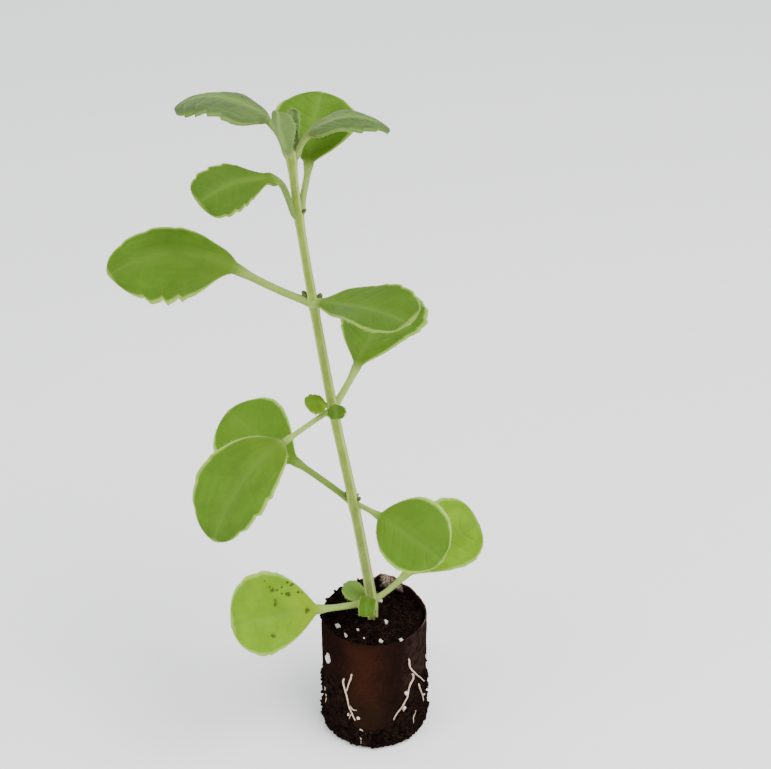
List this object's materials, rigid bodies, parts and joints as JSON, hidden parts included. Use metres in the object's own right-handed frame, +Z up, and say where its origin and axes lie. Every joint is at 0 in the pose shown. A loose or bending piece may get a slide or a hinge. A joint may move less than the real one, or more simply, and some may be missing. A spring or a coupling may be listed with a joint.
{
  "type": "potted cuban oregano",
  "caption": "Young cuban oregano plant with opposite pairs of thick velvety leaves on an upright stem, rooted in a round paper-sleeved soil plug with pale roots on its side.",
  "frame": {"origin": "centre of the soil plug's flat underside", "axes": "+Z up along the plug's axis, +X to the right of the plant's front, +Y away from its front"},
  "size_m": [0.1269, 0.0819, 0.2576],
  "materials": {
    "soil": "matte",
    "paper": "matte",
    "stem": "satin",
    "leaf_green": "satin",
    "leaf_yellow_green": "satin",
    "leaf_grey_green": "matte",
    "root": "matte",
    "perlite": "matte"
  },
  "bodies": {
    "root": {"soil_plug": "soil", "paper_sleeve": "paper", "main_stem": "stem", "leaf_lowest_left": "leaf_yellow_green", "leaf_lowest_right": "leaf_yellow_green", "leaf_low_left": "leaf_green", "leaf_low_right": "leaf_green", "leaf_middle_left": "leaf_green", "leaf_middle_right": "leaf_green", "leaf_upper_left": "leaf_green", "leaf_upper_right": "leaf_green", "leaf_high_left": "leaf_green", "leaf_high_right": "leaf_green", "leaf_top_left": "leaf_grey_green", "leaf_top_right": "leaf_grey_green", "young_leaf_front": "leaf_grey_green", "young_leaf_back": "leaf_grey_green", "shoot_leaf_left": "leaf_yellow_green", "shoot_leaf_right": "leaf_green", "base_shoot_back": "leaf_yellow_green", "base_shoot_front": "leaf_green", "root_left": "root", "root_left_small": "root", "root_right": "root", "root_right_inner": "root", "root_right_outer": "root", "root_back": "root", "perlite_grain_1": "perlite", "perlite_grain_2": "perlite", "perlite_grain_3": "perlite", "perlite_grain_4": "perlite", "perlite_grain_5": "perlite", "perlite_grain_6": "perlite"}
  },
  "joints": []
}
